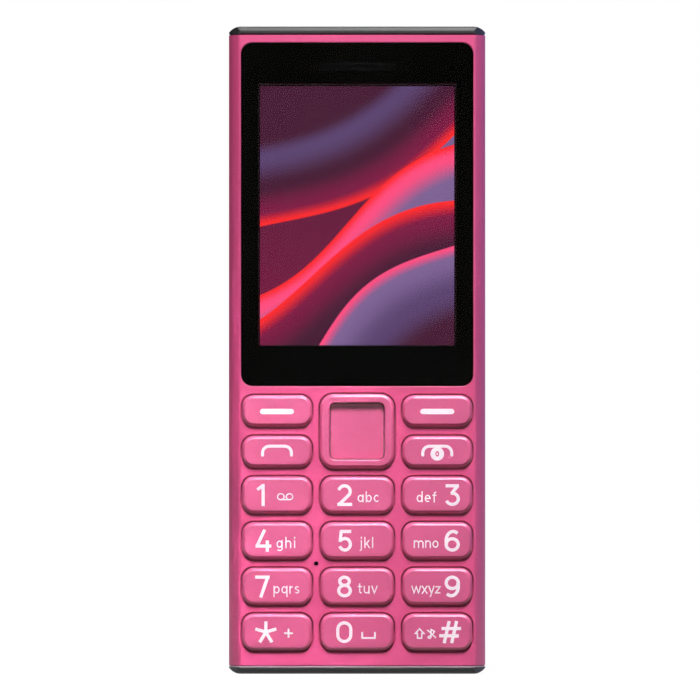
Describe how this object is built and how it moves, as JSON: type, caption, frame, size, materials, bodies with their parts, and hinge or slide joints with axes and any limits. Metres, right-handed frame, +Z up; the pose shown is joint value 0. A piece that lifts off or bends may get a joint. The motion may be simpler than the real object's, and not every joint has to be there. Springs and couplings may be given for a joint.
{
  "type": "feature phone",
  "caption": "Bar-shaped feature phone with a display window, rows of pressing keys, a square direction pad, grey end caps and a lift-off back cover over a battery.",
  "frame": {"origin": "middle of the bottom end, on the plane that the phone stands on", "axes": "+Z up the length to the earpiece end, +Y from the screen to the back, +X to the right as the screen is seen"},
  "size_m": [0.0484, 0.0144, 0.1219],
  "materials": {
    "pink_shell": "satin moulded plastic",
    "pink_keys": "satin moulded plastic with printed legends",
    "grey_cap": "satin dark grey plastic",
    "black_plastic": "fine textured black plastic",
    "window_glass": "polished clear window",
    "window_print": "black screen print",
    "adhesive": "adhesive tape",
    "acoustic_mesh": "woven acoustic mesh",
    "foam": "foam",
    "display_glass": "lit display under a polariser",
    "backlight_white": "white moulded frame",
    "flex_film": "amber film",
    "silicone": "translucent silicone",
    "dome_steel": "sprung stainless steel",
    "clear_film": "clear film",
    "board_green": "solder mask",
    "sheet_steel": "tinned sheet",
    "battery_can": "satin can with a plain sleeve",
    "contact_gold": "gold flash",
    "black_rubber": "soft rubber",
    "bezel_metal": "dark anodised ring",
    "camera_glass": "dark camera window",
    "lamp_yellow": "phosphor",
    "flash_plastic": "clear moulded lens",
    "screw_steel": "blackened steel"
  },
  "bodies": {
    "phone": {"front_cover": "pink_shell", "top_cap": "grey_cap", "bottom_cap": "grey_cap", "chassis": "black_plastic", "audio_jack": "black_plastic", "camera_module": "black_plastic", "loudspeaker": "black_plastic", "window_lens": "window_glass", "window_mask": "window_print", "window_tape": "adhesive", "earpiece_mesh": "acoustic_mesh", "display_gasket": "foam", "display_panel": "display_glass", "display_backlight": "backlight_white", "display_ribbon": "flex_film", "key_mat": "silicone", "key_domes": "dome_steel", "dome_film": "clear_film", "main_board": "board_green", "shield_cans": "sheet_steel", "sim_sockets": "sheet_steel", "card_socket": "sheet_steel", "usb_socket": "sheet_steel", "vibration_motor": "sheet_steel", "earpiece_receiver": "sheet_steel", "battery_contacts": "contact_gold", "antenna": "contact_gold", "microphone": "contact_gold", "mic_boot": "black_rubber", "camera_bezel": "bezel_metal", "camera_window": "camera_glass", "flash_led": "lamp_yellow", "flash_lens": "flash_plastic", "screws": "screw_steel"},
    "key_soft_left": {"key_soft_left": "pink_keys"},
    "key_soft_right": {"key_soft_right": "pink_keys"},
    "key_call": {"key_call": "pink_keys"},
    "key_end": {"key_end": "pink_keys"},
    "key_1": {"key_1": "pink_keys"},
    "key_2": {"key_2": "pink_keys"},
    "key_3": {"key_3": "pink_keys"},
    "key_4": {"key_4": "pink_keys"},
    "key_5": {"key_5": "pink_keys"},
    "key_6": {"key_6": "pink_keys"},
    "key_7": {"key_7": "pink_keys"},
    "key_8": {"key_8": "pink_keys"},
    "key_9": {"key_9": "pink_keys"},
    "key_star": {"key_star": "pink_keys"},
    "key_0": {"key_0": "pink_keys"},
    "key_hash": {"key_hash": "pink_keys"},
    "nav_select": {"nav_select": "pink_keys"},
    "nav_rocker": {"nav_rocker": "silicone"},
    "nav_ring": {"nav_ring": "pink_keys"},
    "battery_cover": {"battery_cover": "pink_shell", "speaker_mesh": "acoustic_mesh"},
    "battery": {"battery": "battery_can"}
  },
  "joints": [
    {"name": "key_soft_left_press", "type": "slide", "parent": "phone", "child": "key_soft_left", "axis": [0, 1, 0], "range_m": [0, 0.0003], "stiffness_N_per_m": 5000, "deforming": ["key_mat"]},
    {"name": "key_soft_right_press", "type": "slide", "parent": "phone", "child": "key_soft_right", "axis": [0, 1, 0], "range_m": [0, 0.0003], "stiffness_N_per_m": 5000, "deforming": ["key_mat"]},
    {"name": "key_call_press", "type": "slide", "parent": "phone", "child": "key_call", "axis": [0, 1, 0], "range_m": [0, 0.0003], "stiffness_N_per_m": 5000, "deforming": ["key_mat"]},
    {"name": "key_end_press", "type": "slide", "parent": "phone", "child": "key_end", "axis": [0, 1, 0], "range_m": [0, 0.0003], "stiffness_N_per_m": 5000, "deforming": ["key_mat"]},
    {"name": "key_1_press", "type": "slide", "parent": "phone", "child": "key_1", "axis": [0, 1, 0], "range_m": [0, 0.0003], "stiffness_N_per_m": 5000, "deforming": ["key_mat"]},
    {"name": "key_2_press", "type": "slide", "parent": "phone", "child": "key_2", "axis": [0, 1, 0], "range_m": [0, 0.0003], "stiffness_N_per_m": 5000, "deforming": ["key_mat"]},
    {"name": "key_3_press", "type": "slide", "parent": "phone", "child": "key_3", "axis": [0, 1, 0], "range_m": [0, 0.0003], "stiffness_N_per_m": 5000, "deforming": ["key_mat"]},
    {"name": "key_4_press", "type": "slide", "parent": "phone", "child": "key_4", "axis": [0, 1, 0], "range_m": [0, 0.0003], "stiffness_N_per_m": 5000, "deforming": ["key_mat"]},
    {"name": "key_5_press", "type": "slide", "parent": "phone", "child": "key_5", "axis": [0, 1, 0], "range_m": [0, 0.0003], "stiffness_N_per_m": 5000, "deforming": ["key_mat"]},
    {"name": "key_6_press", "type": "slide", "parent": "phone", "child": "key_6", "axis": [0, 1, 0], "range_m": [0, 0.0003], "stiffness_N_per_m": 5000, "deforming": ["key_mat"]},
    {"name": "key_7_press", "type": "slide", "parent": "phone", "child": "key_7", "axis": [0, 1, 0], "range_m": [0, 0.0003], "stiffness_N_per_m": 5000, "deforming": ["key_mat"]},
    {"name": "key_8_press", "type": "slide", "parent": "phone", "child": "key_8", "axis": [0, 1, 0], "range_m": [0, 0.0003], "stiffness_N_per_m": 5000, "deforming": ["key_mat"]},
    {"name": "key_9_press", "type": "slide", "parent": "phone", "child": "key_9", "axis": [0, 1, 0], "range_m": [0, 0.0003], "stiffness_N_per_m": 5000, "deforming": ["key_mat"]},
    {"name": "key_star_press", "type": "slide", "parent": "phone", "child": "key_star", "axis": [0, 1, 0], "range_m": [0, 0.0003], "stiffness_N_per_m": 5000, "deforming": ["key_mat"]},
    {"name": "key_0_press", "type": "slide", "parent": "phone", "child": "key_0", "axis": [0, 1, 0], "range_m": [0, 0.0003], "stiffness_N_per_m": 5000, "deforming": ["key_mat"]},
    {"name": "key_hash_press", "type": "slide", "parent": "phone", "child": "key_hash", "axis": [0, 1, 0], "range_m": [0, 0.0003], "stiffness_N_per_m": 5000, "deforming": ["key_mat"]},
    {"name": "nav_select_press", "type": "slide", "parent": "phone", "child": "nav_select", "axis": [0, 1, 0], "range_m": [0, 0.0003], "stiffness_N_per_m": 5000, "deforming": ["key_mat"]},
    {"name": "pad_tilt_sideways", "type": "hinge", "parent": "phone", "child": "nav_rocker", "pos_m": [0, -0.00374, 0.04569], "axis": [0, 0, 1], "range_deg": [-2, 2], "stiffness_Nm_per_rad": 0.3},
    {"name": "pad_tilt_up_down", "type": "hinge", "parent": "nav_rocker", "child": "nav_ring", "pos_m": [0, -0.00374, 0.04569], "axis": [1, 0, 0], "range_deg": [-2, 2], "stiffness_Nm_per_rad": 0.3},
    {"name": "cover_lift", "type": "slide", "parent": "phone", "child": "battery_cover", "axis": [0, 1, 0], "range_m": [0, 0.03]},
    {"name": "battery_lift", "type": "slide", "parent": "phone", "child": "battery", "axis": [0, 1, 0], "range_m": [0, 0.012]}
  ],
  "couplings": [
    {"joint": "battery_lift", "follows": "cover_lift", "ratio": 0.4}
  ]
}
